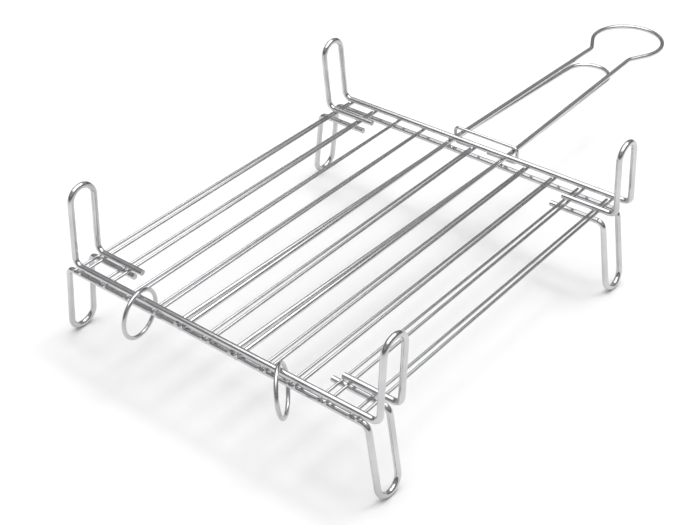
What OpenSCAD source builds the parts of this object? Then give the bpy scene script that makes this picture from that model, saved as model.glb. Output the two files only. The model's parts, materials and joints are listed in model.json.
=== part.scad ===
// Hinged double grill basket of bright bent wire, shown closed.
// The lower half stands on its legs. The upper half opens like a book about the
// front cross wires, which two loose split rings hold together. An oblong sliding
// clasp keeps the two handles together.
// Millimetres, +Z up, +Y from the hinge side towards the handles, origin at the
// middle of the whole object on the floor.

/* [Grill] */
// Distance between the front and rear cross wires
grill_len = 400; // [300:1:520]
// Distance between the left and right legs
grill_w = 360; // [280:1:480]
// Distance from a leg to the nearest long wire
edge_gap = 15; // [12:0.5:24]
// How far the long wires stick out past the cross wires
wire_over = 2.5; // [1:0.5:5]
// How deep welded wires sink into each other
weld_sink = 0.3; // [0.1:0.05:0.5]

/* [Wire sizes] */
// Diameter of the cross wires and legs
cross_d = 6; // [4.5:0.1:7.5]
// Diameter of the long grill wires
bar_d = 3; // [2:0.1:3.8]
// Diameter of the handle wires
handle_d = 5; // [4:0.1:5.4]
// Diameter of the hinge ring wire
ring_d = 4; // [3:0.1:4.8]
// Diameter of the clasp wire
clasp_d = 3.5; // [2.5:0.1:4.2]

/* [Legs] */
// Width of a leg loop between wire centres
leg_w = 28; // [20:1:40]
// Length of the upper legs, from cross wire to loop
upper_leg = 78; // [55:1:110]
// Length of the lower legs, from cross wire to loop
lower_leg = 80; // [55:1:110]
// Outward lean of the upper legs in degrees
upper_splay = 0; // [0:1:12]
// Outward lean of the lower legs in degrees
lower_splay = 8; // [0:1:12]
// Lean of the upper legs towards the middle of the grill in degrees
upper_tuck = 5; // [0:1:8]
// Lean of the lower legs towards the middle of the grill in degrees
lower_tuck = 0; // [0:1:8]
// Length of the welded stubs, from the leg inwards
stub_len = 60; // [45:1:90]
// Bend radius where a cross wire turns into a leg
corner_r = 8; // [6:0.5:12]

/* [Halves] */
// Room between the handle wires of one half and the front cross wire of the other
half_room = 0.8; // [0.8:0.1:4]
// How far the lower half lies to the left of the upper one, at the legs
half_off = 14; // [8:0.5:14]
// How far the lower half lies behind the upper one
half_back = 2; // [0:0.5:4]
// Rise of the closed upper half towards the rear in degrees
rest_tilt = 0.6; // [0.6:0.1:1.5]
// Shift of the upper long wires to the left between their legs
grid_off = 5; // [0:0.5:6]

/* [Handles] */
// Distance from the front cross wire to the neck of the upper handle
neck_y = 674; // [600:1:900]
// Distance between the shanks at the neck
neck_w = 50; // [36:1:60]
// Radius of the round end loop of the upper handle
loop_r = 41; // [34:1:60]
// Distance from the neck to the centre of the end loop
loop_reach = 40; // [34:1:60]
// Distance from the front cross wire to the end of the lower handle
lower_end = 649; // [560:1:660]
// Distance between the shanks at the end of the lower handle
lower_end_w = 50; // [36:1:60]
// Sideways lean of the upper handle in degrees
upper_skew = 0.35; // [0:0.05:0.5]
// Sideways lean of the lower handle in degrees
lower_skew = 1; // [0.5:0.05:1]
// Bend radius at the necks
neck_r = 12; // [8:1:20]

/* [Hinge rings] */
// Radius of the hinge rings at the wire centre
ring_r = 23.5; // [22:0.5:26]
// Gap between the two ends of a split ring
ring_split = 1.2; // [0.6:0.1:3]
// Turn of the left ring away from square in degrees
left_turn = 9; // [0:1:15]
// Lean of the left ring in degrees
left_lean = -3; // [-6:1:6]
// Turn of the right ring away from square in degrees
right_turn = 33; // [15:1:36]
// Lean of the right ring in degrees
right_lean = 7; // [0:1:14]
// Room between the rings and the front cross wires over the whole swing
ring_gap = 0.6; // [0.4:0.1:1.5]

/* [Clasp] */
// Distance of the closed clasp behind the rear cross wire
clasp_back = 20.5; // [12:0.5:60]
// Height of the clasp between wire centres
clasp_h = 18; // [18:0.5:24]
// Room between the clasp's ends and the handle wires
clasp_gap = 0.8; // [0.4:0.1:2]
// Room between the clasp's top strand and the upper handle
clasp_rest = 0.4; // [0.3:0.1:1]
// Opening between the two ends of the clasp
clasp_split = 22; // [10:1:30]

/* [Hidden] */
$fn = 48;

// Long wires: eleven places, of which 5 and 7 hold the handle wires.
places = [1, 2, 3, 4, 6, 8, 9, 10, 11];
// Sideways errors of the thin wires as they were welded, in their order.
lower_errors = [-2.6, -1.8, 0.6, 0.6, -1.4, 0, 0, -1.2, -0.8];
upper_errors = [0, 0.3, -0.2, 0, 0, 0, 0, 0.3, -0.3];
pitch = (grill_w - 2 * edge_gap) / 10;
bar_z = -(cross_d + bar_d) / 2 + weld_sink;
handle_z = -(cross_d + handle_d) / 2 + weld_sink;
tail = cross_d / 2 + wire_over;

// Height between the two front cross wires.
half_gap = cross_d + handle_d - weld_sink + half_room;

// Directions of a leg: along it, and across its loop towards the middle.
function leg_dir(splay, tuck) = [sin(splay), cos(splay) * sin(tuck), cos(splay) * cos(tuck)];
function leg_across(tuck) = [0, cos(tuck), -sin(tuck)];
// Middle of the round end of a leg loop, and how far the loop reaches beyond it.
function foot_mid(h, splay, tuck) =
  [grill_w / 2, 0, 0] + leg_dir(splay, tuck) * (h - leg_w / 2) + leg_across(tuck) * leg_w / 2;
function foot_reach(axis, splay, tuck) =
  let (n = cross(leg_dir(splay, tuck), leg_across(tuck)))
  leg_w / 2 * sqrt(max(0, 1 - n[axis] * n[axis])) + cross_d / 2;
lower_h = foot_mid(lower_leg, lower_splay, lower_tuck).z + foot_reach(2, lower_splay, lower_tuck);
lower_half_w = foot_mid(lower_leg, lower_splay, lower_tuck).x + foot_reach(0, lower_splay, lower_tuck);
upper_half_w = foot_mid(upper_leg, upper_splay, upper_tuck).x + foot_reach(0, upper_splay, upper_tuck);

// Sideways places, with the whole width centred on X = 0.
upper_x = -(min(-half_off - lower_half_w, -upper_half_w)
          + max(-half_off + lower_half_w, upper_half_w)) / 2;
lower_x = upper_x - half_off;
upper_grid_x = upper_x - grid_off;
lower_grid_x = lower_x;

// Hinge rings hang round the front cross wires, each in a space between long wires.
// They leave room for the upper front cross wire to rise a little as the basket opens.
function ring_axis(turn, lean) = [cos(turn) * cos(lean), sin(turn) * cos(lean), sin(lean)];
ring_lift = norm([half_back - half_gap, half_gap]) / 2 - half_gap / 2;
ring_drop = ring_r - ring_d / 2 - cross_d / 2 - ring_gap - ring_lift;
left_ring_x = upper_grid_x - 3 * pitch + 10.2;
right_ring_x = upper_grid_x + 2 * pitch + 17.8;
left_ring_y = -2.9;
right_ring_y = -4;
front_reach = min(
  left_ring_y - ring_r * sqrt(1 - pow(ring_axis(left_turn, left_lean).y, 2)) - ring_d / 2,
  right_ring_y - ring_r * sqrt(1 - pow(ring_axis(right_turn, right_lean).y, 2)) - ring_d / 2,
  -cross_d / 2 - wire_over);

// Front to back places, with the whole length centred on Y = 0.
loop_y = neck_y + loop_reach;
loop_top = (half_back - half_gap) / 2
  + cos(rest_tilt) * (loop_y * cos(upper_skew) + loop_r - (half_back - half_gap) / 2)
  - sin(rest_tilt) * (half_gap / 2 + handle_z) + handle_d / 2;
front_y = -(front_reach + loop_top) / 2;
upper_z = lower_h + half_gap;
hinge_y = front_y + (half_back - half_gap) / 2;
hinge_z = lower_h + half_gap / 2;

// Upper handle: lean of the shanks, then of the flare that runs into the end loop.
upper_in = atan((pitch - neck_w / 2) / (neck_y - grill_len));
neck_span = norm([neck_w / 2, loop_reach]);
flare = asin(loop_r / neck_span) - atan(neck_w / 2 / loop_reach);
flare_len = sqrt(neck_span * neck_span - loop_r * loop_r);
// Lower handle: lean of the shanks that run straight into the round end.
end_r = lower_end_w / 2;
end_span = norm([pitch, lower_end - end_r - grill_len]);
lower_in = atan(pitch / (lower_end - end_r - grill_len)) - asin(end_r / end_span);
shank_len = sqrt(end_span * end_span - end_r * end_r);
bend_r = 60;
// Hair-thin swell that ties a slanted bend to the straight piece after it.
swell = 0.02;

// Half the distance between the shanks at a place behind the rear cross wire.
function upper_shank(y) = pitch - tan(upper_in) * (y - grill_len);
function lower_shank(y) = pitch - tan(lower_in) * (y - grill_len);
clasp_y = grill_len + clasp_back;
clasp_pad = handle_d / 2 + clasp_gap + clasp_d / 2;
clasp_left = min(upper_grid_x + clasp_y * tan(upper_skew) - upper_shank(clasp_y),
                 lower_grid_x + clasp_y * tan(lower_skew) - lower_shank(clasp_y)) - clasp_pad;
clasp_right = max(upper_grid_x + clasp_y * tan(upper_skew) + upper_shank(clasp_y),
                  lower_grid_x + clasp_y * tan(lower_skew) + lower_shank(clasp_y)) + clasp_pad;
clasp_corner = handle_d / 2 + clasp_rest + clasp_d / 2;
clasp_top = handle_z + clasp_corner;
clasp_split_x = clasp_left + 31;

// A bent wire that starts at the origin along +Z. Each step runs straight on for
// a length, bends towards the wire's own +X, or turns the wire about itself.
module wire(steps, d, i = 0) {
  if (i < len(steps)) {
    what = steps[i][0];
    size = steps[i][1];
    if (what == "run") {
      cylinder(h = size, d = d);
      translate([0, 0, size]) wire(steps, d, i + 1);
    } else if (what == "bend") {
      r = steps[i][2];
      translate([r, 0, 0]) rotate([90, 0, 180])
        rotate_extrude(angle = size, $fn = 96) translate([r, 0]) circle(d = d);
      translate([r, 0, 0]) rotate([0, size, 0]) translate([-r, 0, 0]) {
        if (size % 90 != 0) sphere(d = d + swell);
        wire(steps, d, i + 1);
      }
    } else {
      rotate([0, 0, size]) wire(steps, d, i + 1);
    }
  }
}

// One cross wire with its two leg loops and welded stubs, legs pointing up.
// It is drawn from its middle outwards; sy is 1 at the front and -1 at the rear.
module crossbar(y, sy, h, splay, tuck) {
  cut = corner_r * tan((90 - splay) / 2);
  inner = h - leg_w * sin(tuck) / leg_dir(splay, tuck).z;
  for (m = [0, 1])
    mirror([m, 0, 0]) translate([0, y, 0]) rotate([-sy * tuck, 0, 0])
      rotate([0, 90, 0]) rotate([0, 0, 180])
        wire([["run", grill_w / 2 - cut], ["bend", 90 - splay, corner_r],
              ["run", h - cut - leg_w / 2], ["turn", -sy * 90],
              ["bend", 180, leg_w / 2], ["turn", sy * 90],
              ["run", inner - cut - leg_w / 2], ["bend", 90 - splay, corner_r],
              ["run", stub_len - cut]], cross_d);
}

module long_bar(k, grid, errors)
  translate([grid + (places[k - 1] - 6) * pitch + errors[k - 1], -tail, bar_z]) rotate([-90, 0, 0])
    cylinder(h = grill_len + 2 * tail, d = bar_d);

// Upper handle: two shanks through the grill, a neck and a round end loop.
module long_handle(grid) {
  cut = bend_r * tan(upper_in / 2);
  neck_cut = neck_r * tan((upper_in + flare) / 2);
  shank = norm([neck_y - grill_len, pitch - neck_w / 2]);
  translate([grid, 0, handle_z]) rotate([0, 0, -upper_skew]) translate([-pitch, -tail, 0])
    rotate([-90, 0, 0])
      wire([["run", tail + grill_len - cut], ["bend", upper_in, bend_r],
            ["run", shank - cut - neck_cut], ["turn", 180],
            ["bend", upper_in + flare, neck_r], ["turn", 180],
            ["run", flare_len - neck_cut], ["bend", 180 + 2 * flare, loop_r],
            ["run", flare_len - neck_cut], ["turn", 180],
            ["bend", upper_in + flare, neck_r], ["turn", 180],
            ["run", shank - cut - neck_cut], ["bend", upper_in, bend_r],
            ["run", tail + grill_len - cut]], handle_d);
}

// Lower handle: two shanks through the grill that end in a plain round bend.
module short_handle(grid) {
  cut = bend_r * tan(lower_in / 2);
  translate([grid, 0, handle_z]) rotate([0, 0, -lower_skew]) translate([-pitch, -tail, 0])
    rotate([-90, 0, 0])
      wire([["run", tail + grill_len - cut], ["bend", lower_in, bend_r],
            ["run", shank_len - cut], ["bend", 180 - 2 * lower_in, end_r],
            ["run", shank_len - cut], ["bend", lower_in, bend_r],
            ["run", tail + grill_len - cut]], handle_d);
}

// Split ring round both front cross wires; split is where its ends meet.
module hinge_ring(x, y, turn, lean, split) {
  open = ring_split / ring_r * 180 / PI;
  translate([x, front_y + y, upper_z - ring_drop]) rotate([0, 90 - lean, turn])
    rotate([0, 0, split + open / 2])
      rotate_extrude(angle = 360 - open, $fn = 96) translate([ring_r, 0]) circle(d = ring_d);
}

// Placing of the two halves. The lower one is turned over, and the closed upper one
// is tilted about the hinge line by the handle wires that lie on each other.
module lower() translate([0, front_y + half_back, lower_h]) mirror([0, 0, 1]) children();
module upper() translate([0, hinge_y, hinge_z]) rotate([rest_tilt, 0, 0])
  translate([0, front_y - hinge_y, upper_z - hinge_z]) children();

module lower_front_crossbar() color("gainsboro") lower()
  translate([lower_x, 0, 0]) crossbar(0, 1, lower_leg, lower_splay, lower_tuck);
module lower_rear_crossbar() color("gainsboro") lower()
  translate([lower_x, 0, 0]) crossbar(grill_len, -1, lower_leg, lower_splay, lower_tuck);
module lower_bar_1() color("silver") lower() long_bar(1, lower_grid_x, lower_errors);
module lower_bar_2() color("silver") lower() long_bar(2, lower_grid_x, lower_errors);
module lower_bar_3() color("silver") lower() long_bar(3, lower_grid_x, lower_errors);
module lower_bar_4() color("silver") lower() long_bar(4, lower_grid_x, lower_errors);
module lower_bar_5() color("silver") lower() long_bar(5, lower_grid_x, lower_errors);
module lower_bar_6() color("silver") lower() long_bar(6, lower_grid_x, lower_errors);
module lower_bar_7() color("silver") lower() long_bar(7, lower_grid_x, lower_errors);
module lower_bar_8() color("silver") lower() long_bar(8, lower_grid_x, lower_errors);
module lower_bar_9() color("silver") lower() long_bar(9, lower_grid_x, lower_errors);
module lower_handle() color("lightgray") lower() short_handle(lower_grid_x);

module upper_front_crossbar() color("gainsboro") upper()
  translate([upper_x, 0, 0]) crossbar(0, 1, upper_leg, upper_splay, upper_tuck);
module upper_rear_crossbar() color("gainsboro") upper()
  translate([upper_x, 0, 0]) crossbar(grill_len, -1, upper_leg, upper_splay, upper_tuck);
module upper_bar_1() color("silver") upper() long_bar(1, upper_grid_x, upper_errors);
module upper_bar_2() color("silver") upper() long_bar(2, upper_grid_x, upper_errors);
module upper_bar_3() color("silver") upper() long_bar(3, upper_grid_x, upper_errors);
module upper_bar_4() color("silver") upper() long_bar(4, upper_grid_x, upper_errors);
module upper_bar_5() color("silver") upper() long_bar(5, upper_grid_x, upper_errors);
module upper_bar_6() color("silver") upper() long_bar(6, upper_grid_x, upper_errors);
module upper_bar_7() color("silver") upper() long_bar(7, upper_grid_x, upper_errors);
module upper_bar_8() color("silver") upper() long_bar(8, upper_grid_x, upper_errors);
module upper_bar_9() color("silver") upper() long_bar(9, upper_grid_x, upper_errors);
module upper_handle() color("lightgray") upper() long_handle(upper_grid_x);

module hinge_ring_left() color("darkgray")
  hinge_ring(left_ring_x, left_ring_y, left_turn, left_lean, 20);
module hinge_ring_right() color("darkgray")
  hinge_ring(right_ring_x, right_ring_y, right_turn, right_lean, -8);

// Oblong open clasp round both handles.
module handle_clasp() color("darkgray") upper() {
  r = clasp_corner;
  side = clasp_h - 2 * r;
  half = clasp_split / 2;
  translate([clasp_split_x - half, clasp_y, clasp_top - clasp_h]) rotate([0, -90, 0])
    wire([["run", clasp_split_x - half - clasp_left - r],
          ["bend", 90, r], ["run", side], ["bend", 90, r],
          ["run", clasp_right - clasp_left - 2 * r],
          ["bend", 90, r], ["run", side], ["bend", 90, r],
          ["run", clasp_right - r - clasp_split_x - half]], clasp_d);
}

lower_front_crossbar();
lower_rear_crossbar();
lower_bar_1();
lower_bar_2();
lower_bar_3();
lower_bar_4();
lower_bar_5();
lower_bar_6();
lower_bar_7();
lower_bar_8();
lower_bar_9();
lower_handle();
upper_front_crossbar();
upper_rear_crossbar();
upper_bar_1();
upper_bar_2();
upper_bar_3();
upper_bar_4();
upper_bar_5();
upper_bar_6();
upper_bar_7();
upper_bar_8();
upper_bar_9();
upper_handle();
hinge_ring_left();
hinge_ring_right();
handle_clasp();
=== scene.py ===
"""Looks of the hinged grill basket: plated wires, weld beads and cut wire ends."""
import json
import math
import random

import bmesh
import bpy
from mathutils import Euler, Matrix, Vector, noise


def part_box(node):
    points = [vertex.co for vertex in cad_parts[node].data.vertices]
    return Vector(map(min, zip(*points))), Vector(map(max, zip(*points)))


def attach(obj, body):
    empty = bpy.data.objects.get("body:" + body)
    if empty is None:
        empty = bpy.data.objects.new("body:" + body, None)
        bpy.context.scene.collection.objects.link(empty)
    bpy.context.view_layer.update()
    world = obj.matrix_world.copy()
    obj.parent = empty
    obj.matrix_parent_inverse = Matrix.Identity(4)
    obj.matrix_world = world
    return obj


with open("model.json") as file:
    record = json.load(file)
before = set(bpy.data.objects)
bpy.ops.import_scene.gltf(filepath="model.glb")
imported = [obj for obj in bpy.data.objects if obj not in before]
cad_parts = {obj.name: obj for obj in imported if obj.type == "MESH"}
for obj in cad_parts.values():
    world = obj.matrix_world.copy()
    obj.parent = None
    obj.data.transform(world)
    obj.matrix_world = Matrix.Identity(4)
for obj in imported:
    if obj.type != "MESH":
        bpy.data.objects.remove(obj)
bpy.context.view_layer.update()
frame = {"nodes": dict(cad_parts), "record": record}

MM = 0.001
BARS = range(1, 10)
HALVES = {"lower": "base", "upper": "lid"}   # half of the basket: its body
SLOTS = {m["slot"]: m for m in frame["record"]["materials"]}
NODE_SLOT = {s["node"]: s["material_slot"] for s in frame["record"]["subparts"]}


# ---------------------------------------------------------------- camera

CAMERA_AT = Vector((0.6895, -0.9979, 0.8202))
CAMERA_YAW = 39.63
CAMERA_PITCH = 35.26
CAMERA_ROLL = -1.22
CAMERA_LENS = 69.53


def add_camera():
    data = bpy.data.cameras.new("camera")
    data.lens = CAMERA_LENS
    data.sensor_width = 36
    camera = bpy.data.objects.new("camera", data)
    turn = Euler((math.radians(90 - CAMERA_PITCH), 0, math.radians(CAMERA_YAW))).to_matrix()
    roll = Matrix.Rotation(math.radians(CAMERA_ROLL), 3, "Z")
    camera.matrix_world = Matrix.Translation(CAMERA_AT) @ (turn @ roll).to_4x4()
    bpy.context.scene.collection.objects.link(camera)
    bpy.context.scene.camera = camera


# ---------------------------------------------------------------- materials

class Nodes:
    """A short way to write a material's or the world's node tree."""

    def __init__(self, tree):
        self.tree = tree

    def add(self, kind, inputs=None, **settings):
        node = self.tree.nodes.new(kind)
        for name, value in settings.items():
            setattr(node, name, value)
        self.feed(node, inputs or {})
        return node

    def feed(self, node, inputs):
        """Link each input that is given as a socket, and set the others."""
        for name, value in inputs.items():
            if isinstance(value, bpy.types.NodeSocket):
                self.tree.links.new(value, node.inputs[name])
            else:
                node.inputs[name].default_value = value

    def noise(self, vector, scale, detail=3.0, roughness=0.5):
        values = {"Vector": vector, "Scale": scale, "Detail": detail, "Roughness": roughness}
        return self.add("ShaderNodeTexNoise", values).outputs["Fac"]

    def ramp(self, value, low, high, to_low=0.0, to_high=1.0):
        values = {"Value": value, "From Min": low, "From Max": high, "To Min": to_low, "To Max": to_high}
        return self.add("ShaderNodeMapRange", values).outputs["Result"]

    def math(self, operation, a, b):
        return self.add("ShaderNodeMath", {0: a, 1: b}, operation=operation).outputs[0]

    def blend(self, factor, first, second):
        """Mix two colours; the first may also be the socket of another blend."""
        first = first if isinstance(first, bpy.types.NodeSocket) else (*first, 1.0)
        values = {0: factor, 6: first, 7: (*second, 1.0)}
        return self.add("ShaderNodeMix", values, data_type="RGBA").outputs[2]

    def bump(self, height, strength, distance):
        values = {"Strength": strength, "Distance": distance, "Height": height}
        return self.add("ShaderNodeBump", values).outputs[0]


def new_material(name):
    material = bpy.data.materials.new(name)
    material.use_nodes = True
    material.node_tree.nodes.clear()
    nodes = Nodes(material.node_tree)
    shader = nodes.add("ShaderNodeBsdfPrincipled")
    nodes.add("ShaderNodeOutputMaterial", {0: shader.outputs[0]})
    return material, nodes, shader


# Noise scales are per metre, so that a higher one gives a finer pattern.
DRAW_LINES = {"x": (45, 2400, 2400), "y": (2400, 45, 2400), "none": (700, 700, 700)}
CLOUD_SCALE = 34.0
GRAIN_SCALE = 1500.0
PIT_SCALE = 260.0
PIT_DARKNESS = 0.22
RIPPLE_SCALE = 210.0
RIPPLE_HEIGHT = 10.0
PLATING_RELIEF = 0.05 * MM
WELD_LUMP_SCALE = 900.0
WELD_RELIEF = 0.15 * MM
SHEAR_MARK_SCALE = 900.0
SHEAR_SPOT_SCALE = 1600.0
SHEAR_RELIEF = 0.06 * MM
FOOT_TOP = 30 * MM       # below this the lower loops' bends ripple
LOOP_START = 146 * MM    # above this the upper loops' bends ripple
BEND_FADE = 18 * MM


def plated_wire(name, tone, rough, along):
    """Bright plating on drawn wire: draw lines, cloudy tone, fine pits, ripples in the loops' bends."""
    material, nodes, shader = new_material(name)
    place = nodes.add("ShaderNodeTexCoord").outputs["Object"]
    stretched = nodes.add("ShaderNodeMapping", {"Vector": place, "Scale": DRAW_LINES[along]}).outputs[0]
    lines = nodes.noise(stretched, 1.0, 4.0, 0.6)
    cloud = nodes.noise(place, CLOUD_SCALE, 4.0, 0.55)
    grain = nodes.noise(place, GRAIN_SCALE, 2.0)
    cells = nodes.add("ShaderNodeTexVoronoi", {"Vector": place, "Scale": PIT_SCALE}).outputs["Distance"]
    pits = nodes.ramp(cells, 0.05, 0.11, 1.0, 0.0)
    height = nodes.add("ShaderNodeSeparateXYZ", {0: place}).outputs["Z"]
    foot = nodes.ramp(height, FOOT_TOP, FOOT_TOP - BEND_FADE)
    loop = nodes.ramp(height, LOOP_START, LOOP_START + BEND_FADE)
    ripple = nodes.math("MULTIPLY", nodes.noise(place, RIPPLE_SCALE, 2.0), nodes.math("ADD", foot, loop))

    tone = Vector(tone)
    clean = nodes.blend(nodes.ramp(cloud, 0.35, 0.68), tone, tone * 0.82)
    pitted = nodes.blend(nodes.math("MULTIPLY", pits, PIT_DARKNESS), clean, tone * 0.45)
    haze = nodes.math("ADD", nodes.math("MULTIPLY", cloud, 0.6), nodes.math("MULTIPLY", lines, 0.4))
    fine = nodes.math("ADD", nodes.math("MULTIPLY", lines, 0.5), nodes.math("MULTIPLY", grain, 0.25))
    sunk = nodes.math("SUBTRACT", fine, nodes.math("MULTIPLY", pits, 0.6))
    relief = nodes.math("ADD", sunk, nodes.math("MULTIPLY", ripple, RIPPLE_HEIGHT))
    nodes.feed(shader, {
        "Base Color": pitted,
        "Metallic": 1.0,
        "Roughness": nodes.ramp(haze, 0.3, 0.7, rough * 0.65, rough * 1.5),
        "Normal": nodes.bump(relief, 0.2, PLATING_RELIEF),
    })
    return material


def weld_metal():
    """Plated weld squeeze-out: lumpy, duller and a little darker than the wire."""
    material, nodes, shader = new_material("weld_metal")
    place = nodes.add("ShaderNodeTexCoord").outputs["Object"]
    lumps = nodes.noise(place, WELD_LUMP_SCALE, 5.0, 0.65)
    nodes.feed(shader, {
        "Base Color": nodes.blend(nodes.ramp(lumps, 0.3, 0.7), (0.36, 0.36, 0.37), (0.66, 0.66, 0.67)),
        "Metallic": 1.0,
        "Roughness": nodes.ramp(lumps, 0.3, 0.7, 0.22, 0.5),
        "Normal": nodes.bump(lumps, 0.7, WELD_RELIEF),
    })
    return material


def cut_metal():
    """Sheared wire end under the plating: dull, with fine shear marks."""
    material, nodes, shader = new_material("cut_metal")
    place = nodes.add("ShaderNodeTexCoord").outputs["Object"]
    waves = {"Vector": place, "Scale": SHEAR_MARK_SCALE, "Distortion": 3.0}
    marks = nodes.add("ShaderNodeTexWave", waves).outputs["Fac"]
    spots = nodes.noise(place, SHEAR_SPOT_SCALE, 3.0)
    nodes.feed(shader, {
        "Base Color": nodes.blend(spots, (0.45, 0.45, 0.46), (0.68, 0.68, 0.69)),
        "Metallic": 1.0,
        "Roughness": nodes.ramp(spots, 0.3, 0.7, 0.3, 0.55),
        "Normal": nodes.bump(marks, 0.5, SHEAR_RELIEF),
    })
    return material


WIRE_LOOKS = {   # slot: roughness of the plating, direction of its draw lines
    "frame_wire": (0.17, "x"),
    "grill_wire": (0.20, "y"),
    "handle_wire": (0.17, "y"),
    "ring_wire": (0.22, "none"),
    "clasp_wire": (0.19, "x"),
}


def dress_cad_wires():
    looks = {}
    for slot, (rough, along) in WIRE_LOOKS.items():
        looks[slot] = plated_wire(slot, SLOTS[slot]["base_color"][:3], rough, along)
    for name, wire in frame["nodes"].items():
        wire.data.materials.clear()
        wire.data.materials.append(looks[NODE_SLOT[name]])


# ---------------------------------------------------------------- wire ends and crossings

FEWEST_CORNERS = 12       # of a patch that can be a round end
ROUND_ENOUGH = 0.95       # nearest rim corner, of the farthest
WIDEST_END = 4 * MM       # radius; no wire is thicker
NORMAL_DIGITS = 2         # planes are told apart to 0.01 in their normal
OFFSETS_PER_METRE = 1e4   # and to 0.1 mm in their place


class End:
    """The flat cut end of a wire: its middle, its outward direction and its radius."""

    def __init__(self, middle, out, radius):
        self.middle = middle
        self.out = out
        self.radius = radius


def patches(mesh, faces):
    """Faces of one plane, split into groups that touch: one wire can have two ends in a plane."""
    groups = []
    for face in faces:
        corners = {tuple(round(c, 6) for c in mesh.vertices[v].co) for v in face.vertices}
        members = [face]
        apart = []
        for group in groups:
            if group[0] & corners:
                corners |= group[0]
                members += group[1]
            else:
                apart.append(group)
        groups = apart + [(corners, members)]
    return [(members, [Vector(c) for c in corners]) for corners, members in groups]


def cut_ends(node):
    """Flat ends of a wire, found as round flat patches of many triangles."""
    mesh = frame["nodes"][node].data
    planes = {}
    for face in mesh.polygons:
        out = face.normal
        offset = round(out.dot(face.center) * OFFSETS_PER_METRE)
        tilt = tuple(round(c, NORMAL_DIGITS) for c in out)
        planes.setdefault((tilt, offset), []).append(face)
    ends = []
    for plane in planes.values():
        for faces, places in patches(mesh, plane):
            if len(places) < FEWEST_CORNERS:
                continue
            low = Vector([min(p[i] for p in places) for i in range(3)])
            high = Vector([max(p[i] for p in places) for i in range(3)])
            middle = (low + high) / 2
            reach = [(p - middle).length for p in places]
            radius = max(reach)
            nearest = min(r for r in reach if r > radius / 2)
            if nearest > radius * ROUND_ENOUGH and radius < WIDEST_END:
                ends.append(End(middle, faces[0].normal.copy(), radius))
    return ends


ENDS = {name: cut_ends(name) for name in frame["nodes"]}


def new_piece(name, bm, material, body):
    mesh = bpy.data.meshes.new(name)
    for face in bm.faces:
        face.smooth = True
    bm.to_mesh(mesh)
    bm.free()
    mesh.materials.append(material)
    piece = bpy.data.objects.new(name, mesh)
    bpy.context.scene.collection.objects.link(piece)
    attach(piece, body)


DOME_RIM = 0.985   # of the wire's radius, so that the dome stays inside its edge
DOME_RISE = 0.22   # of the wire's radius


def dome_ends(node, bm):
    """A low dome on each cut end of a wire, as shears leave it."""
    for end in ENDS[node]:
        turn = end.out.to_track_quat("Z", "Y").to_matrix().to_4x4()
        rim = end.radius * DOME_RIM
        size = Matrix.Diagonal((rim, rim, end.radius * DOME_RISE, 1.0))
        place = Matrix.Translation(end.middle) @ turn @ size
        bmesh.ops.create_uvsphere(bm, u_segments=28, v_segments=14, radius=1.0, matrix=place)


BEAD_SIDE = 0.75 * MM     # how far a bead shows beside the long wire
BEAD_HIGH = 0.95 * MM
CROSS_SHARE = 0.72        # bead length along the long wire, of the cross wire's radius
LUMP_SCALE = 1.7
LUMP_SHARE = 0.13


def bead(bm, middle, size, draw):
    """One lumpy weld bead, an uneven ellipsoid squeezed out between two crossing wires."""
    made = bmesh.ops.create_uvsphere(bm, u_segments=20, v_segments=12, radius=1.0)["verts"]
    seed = Vector((draw.uniform(0, 50), draw.uniform(0, 50), draw.uniform(0, 50)))
    stretch = 1 + draw.uniform(-0.08, 0.12)
    for vert in made:
        lump = 1 + LUMP_SHARE * noise.noise(vert.co * LUMP_SCALE + seed)
        vert.co = Vector((vert.co.x * size[0] * stretch, vert.co.y * size[1], vert.co.z * size[2])) * lump
        vert.co += middle


def long_wires(half):
    """Each long wire of a half at its front end: middle, direction to the rear, radius."""
    wires = []
    for k in BARS:
        ends = sorted(ENDS[f"{half}_bar_{k}"], key=lambda e: e.middle.y)
        wires.append((ends[0].middle, -ends[0].out, ends[0].radius))
    for end in ENDS[f"{half}_handle"]:
        wires.append((end.middle, -end.out, end.radius))
    return wires


def crossing(wire, y, side):
    """Where a cross wire at y touches a long wire, on top of it (side 1) or under it (side -1)."""
    start, along, radius = wire
    return start + along * ((y - start.y) / along.y) + Vector((0, 0, side * radius))


def bead_size(wire, cross_radius):
    return wire[2] + BEAD_SIDE, cross_radius * CROSS_SHARE, BEAD_HIGH


def add_welds(half, body, material, draw):
    """Beads where each cross wire of a half, and the stubs at its ends, meet the long wires."""
    side = 1 if half == "upper" else -1   # cross wires lie on the upper half's long wires, under the lower's
    wires = long_wires(half)
    for place in ("front", "rear"):
        node = f"{half}_{place}_crossbar"
        low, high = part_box(node)
        radius = ENDS[node][0].radius
        y = low.y + radius if place == "front" else high.y - radius
        bm = bmesh.new()
        for wire in wires:
            bead(bm, crossing(wire, y, side), bead_size(wire, radius), draw)
        for end in ENDS[node]:
            leg_x = low.x if end.out.x > 0 else high.x
            from_x, to_x = sorted((leg_x, end.middle.x))
            for wire in wires:
                spot = crossing(wire, end.middle.y, side)
                if from_x < spot.x < to_x:
                    bead(bm, spot, bead_size(wire, radius), draw)
        new_piece(f"{half}_{place}_welds", bm, material, body)


HALF_ENDS = [   # kind of wire end in each half: its material slot and its wires
    ("grill_wire_ends", "grill_wire", [f"bar_{k}" for k in BARS]),
    ("handle_ends", "handle_wire", ["handle"]),
    ("stub_ends", "frame_wire", ["front_crossbar", "rear_crossbar"]),
]


def add_ends(name, wires, body, material):
    bm = bmesh.new()
    for wire in wires:
        dome_ends(wire, bm)
    new_piece(name, bm, material, body)


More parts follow.
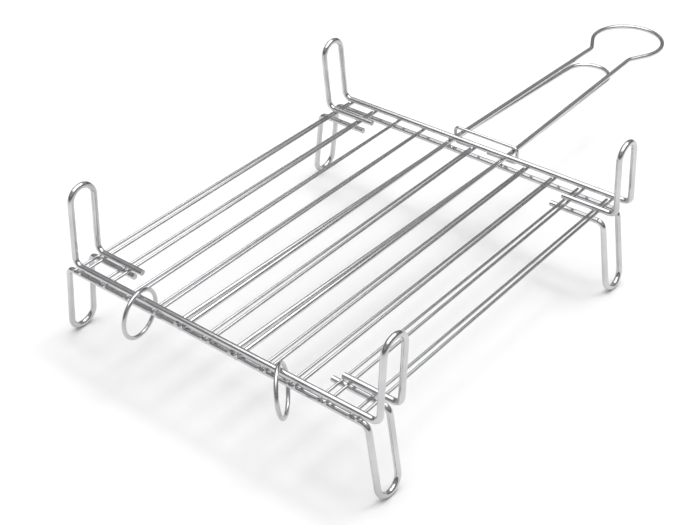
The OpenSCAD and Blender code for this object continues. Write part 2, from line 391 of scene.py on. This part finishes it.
def add_wire_ends(material):
    for kind, slot, wires in HALF_ENDS:
        for half, body in HALVES.items():
            add_ends(f"{half}_{kind}", [f"{half}_{wire}" for wire in wires], body, material)
    add_ends("clasp_ends", ["handle_clasp"], "clasp", material)
    for side in ("left", "right"):
        add_ends(f"ring_{side}_ends", [f"hinge_ring_{side}"], f"ring_{side}", material)


# ---------------------------------------------------------------- studio

FLOOR_REACH = 12.0
FLOOR_TONE = 0.86


def add_floor():
    bm = bmesh.new()
    bmesh.ops.create_grid(bm, x_segments=2, y_segments=2, size=FLOOR_REACH)
    mesh = bpy.data.meshes.new("floor")
    bm.to_mesh(mesh)
    bm.free()
    floor = bpy.data.objects.new("floor", mesh)
    bpy.context.scene.collection.objects.link(floor)
    material, nodes, shader = new_material("floor")
    nodes.feed(shader, {
        "Base Color": (FLOOR_TONE, FLOOR_TONE, FLOOR_TONE, 1),
        "Roughness": 0.9,
        "Specular IOR Level": 0.0,
    })
    mesh.materials.append(material)


LIGHTS_AIM = Vector((0, 0, 0))
LIGHTS = {   # name: place, side of its square, watts
    "overhead": ((0, 0, 2.4), 3.2, 74),
    "key": ((0.40, 0.50, 2.0), 0.42, 6),
}


def add_light(name, at, side, power):
    data = bpy.data.lights.new(name, "AREA")
    data.shape = "RECTANGLE"
    data.size = data.size_y = side
    data.energy = power
    light = bpy.data.objects.new(name, data)
    light.location = at
    light.rotation_euler = (LIGHTS_AIM - Vector(at)).to_track_quat("-Z", "Y").to_euler()
    bpy.context.scene.collection.objects.link(light)


WORLD_BANDS = [   # height of the direction, from horizon 0 to straight up 1: brightness
    (0.00, 0.60), (0.06, 0.34), (0.14, 0.15), (0.40, 0.20),
    (0.50, 0.50), (0.58, 0.50), (0.66, 0.24), (0.85, 0.45),
]


def add_world():
    world = bpy.data.worlds.new("studio")
    world.use_nodes = True
    world.node_tree.nodes.clear()
    nodes = Nodes(world.node_tree)
    place = nodes.add("ShaderNodeTexCoord").outputs["Generated"]
    height = nodes.add("ShaderNodeSeparateXYZ", {0: place}).outputs["Z"]
    ramp = nodes.add("ShaderNodeValToRGB", {0: height})
    bands = ramp.color_ramp
    while len(bands.elements) < len(WORLD_BANDS):
        bands.elements.new(0.5)
    for element, (at, bright) in zip(bands.elements, WORLD_BANDS):
        element.position = at
        element.color = (bright, bright, bright, 1)
    sky = nodes.add("ShaderNodeBackground", {"Color": ramp.outputs[0], "Strength": 1.0})
    nodes.add("ShaderNodeOutputWorld", {0: sky.outputs[0]})
    bpy.context.scene.world = world


def add_studio():
    add_world()
    add_floor()
    for name, (at, side, power) in LIGHTS.items():
        add_light(name, at, side, power)
    bpy.context.scene.view_settings.view_transform = "Standard"


# ---------------------------------------------------------------- the scene

add_camera()
dress_cad_wires()
welds = weld_metal()
cuts = cut_metal()
rolls = random.Random(7)
for half, body in HALVES.items():
    add_welds(half, body, welds, rolls)
add_wire_ends(cuts)
add_studio()
